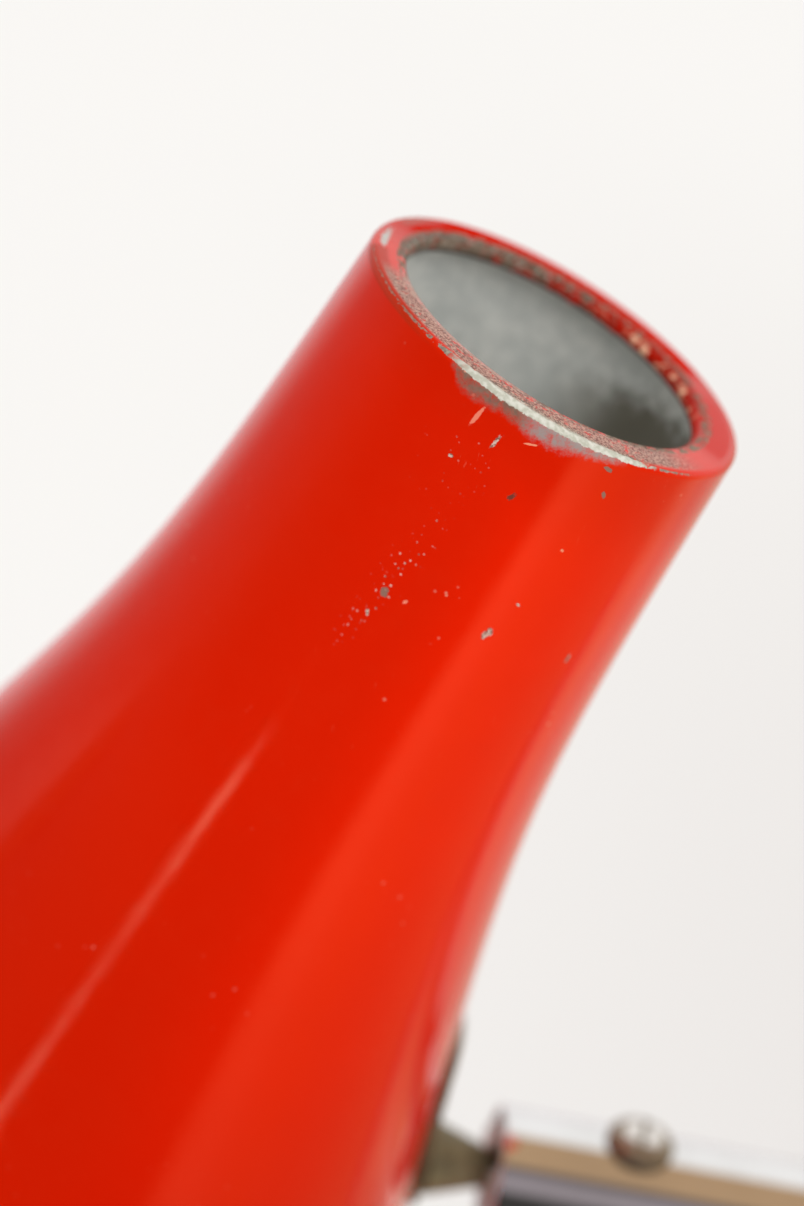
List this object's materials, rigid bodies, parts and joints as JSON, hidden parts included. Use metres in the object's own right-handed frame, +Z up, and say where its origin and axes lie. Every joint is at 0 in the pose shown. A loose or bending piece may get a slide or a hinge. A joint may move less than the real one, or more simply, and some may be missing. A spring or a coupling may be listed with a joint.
{
  "type": "adjustable table lamp",
  "caption": "Adjustable table lamp: turned shade with open rolled neck, tilting and rolling on a bent tube that turns in a weighted round base.",
  "frame": {"origin": "on the column's vertical swivel axis, at the underside of the felt pad, on the table", "axes": "+Z up along the column; the arm points to -X at rest, and the shade hangs at the arm's -X end"},
  "size_m": [0.5084, 0.2448, 0.4397],
  "materials": {
    "red_enamel": "glossy stove enamel over spun aluminium, chipped to bare metal at the neck rim",
    "patinated_brass": "dark olive-brown patina, semi-matt",
    "chrome": "polished chrome plate",
    "brass": "turned, satin",
    "steel": "zinc-grey, satin",
    "cast_iron": "rough, painted black",
    "bakelite": "moulded, glossy dark brown-black",
    "ceramic": "unglazed white",
    "bulb_glass": "inside-frosted",
    "black_glass": "opaque black glass",
    "cap_metal": "rolled thread, satin",
    "solder": "dull solder",
    "felt": "dark green wool felt",
    "fibre": "red-brown vulcanised fibre",
    "black_rubber": "moulded, matt",
    "cable_sheath": "flexible sheath, satin black"
  },
  "bodies": {
    "base": {"base_cover": "red_enamel", "base_weight": "cast_iron", "bottom_plate": "steel", "felt_pad": "felt", "base_screw_1": "steel", "base_screw_2": "steel", "base_screw_3": "steel", "stop_peg": "steel", "column_bush": "brass", "bush_nut": "steel", "thrust_washer": "fibre", "switch_body": "bakelite", "switch_nut": "chrome", "cable_grommet": "black_rubber", "mains_cable": "cable_sheath", "plug_body": "black_rubber", "plug_pin_a": "brass", "plug_pin_b": "brass"},
    "stand": {"arm_tube": "chrome", "column_collar": "chrome", "collar_screw": "steel", "retaining_ring": "steel", "retaining_screw": "patinated_brass", "column_cable": "cable_sheath"},
    "knuckle": {"fork_spigot": "steel", "pivot_pin_near": "steel", "pivot_pin_far": "steel", "joint_cable": "cable_sheath"},
    "head": {"shade": "red_enamel", "saddle_plate": "patinated_brass", "swivel_cone": "patinated_brass", "plate_screw": "patinated_brass", "plate_screw_nut": "steel", "stud_washer": "steel", "stud_nut": "brass", "holder_bracket": "steel", "holder_nipple": "brass", "nipple_nut": "brass", "holder_cap": "bakelite", "holder_skirt": "bakelite", "holder_ring": "bakelite", "holder_insert": "ceramic", "terminal_screw_a": "brass", "terminal_screw_b": "brass", "centre_contact": "brass", "thread_shell": "brass", "bulb_glass": "bulb_glass", "bulb_cap": "cap_metal", "bulb_insulator": "black_glass", "bulb_contact": "solder", "head_cable": "cable_sheath"},
    "switch_button": {"switch_button": "bakelite"}
  },
  "joints": [
    {"name": "stand_swivel", "type": "hinge", "parent": "base", "child": "stand", "pos_m": [0, 0, 0.03], "axis": [0, 0, 1], "range_deg": [-150, 150]},
    {"name": "head_roll", "type": "hinge", "parent": "stand", "child": "knuckle", "pos_m": [-0.1965, 0, 0.28], "axis": [1, 0, 0], "range_deg": [-150, 150]},
    {"name": "head_tilt", "type": "hinge", "parent": "knuckle", "child": "head", "pos_m": [-0.1965, 0, 0.28], "axis": [0, 1, 0], "range_deg": [-40, 40]},
    {"name": "switch_press", "type": "slide", "parent": "base", "child": "switch_button", "axis": [0, 0, -1], "range_m": [0, 0.0022], "stiffness_N_per_m": 400}
  ]
}
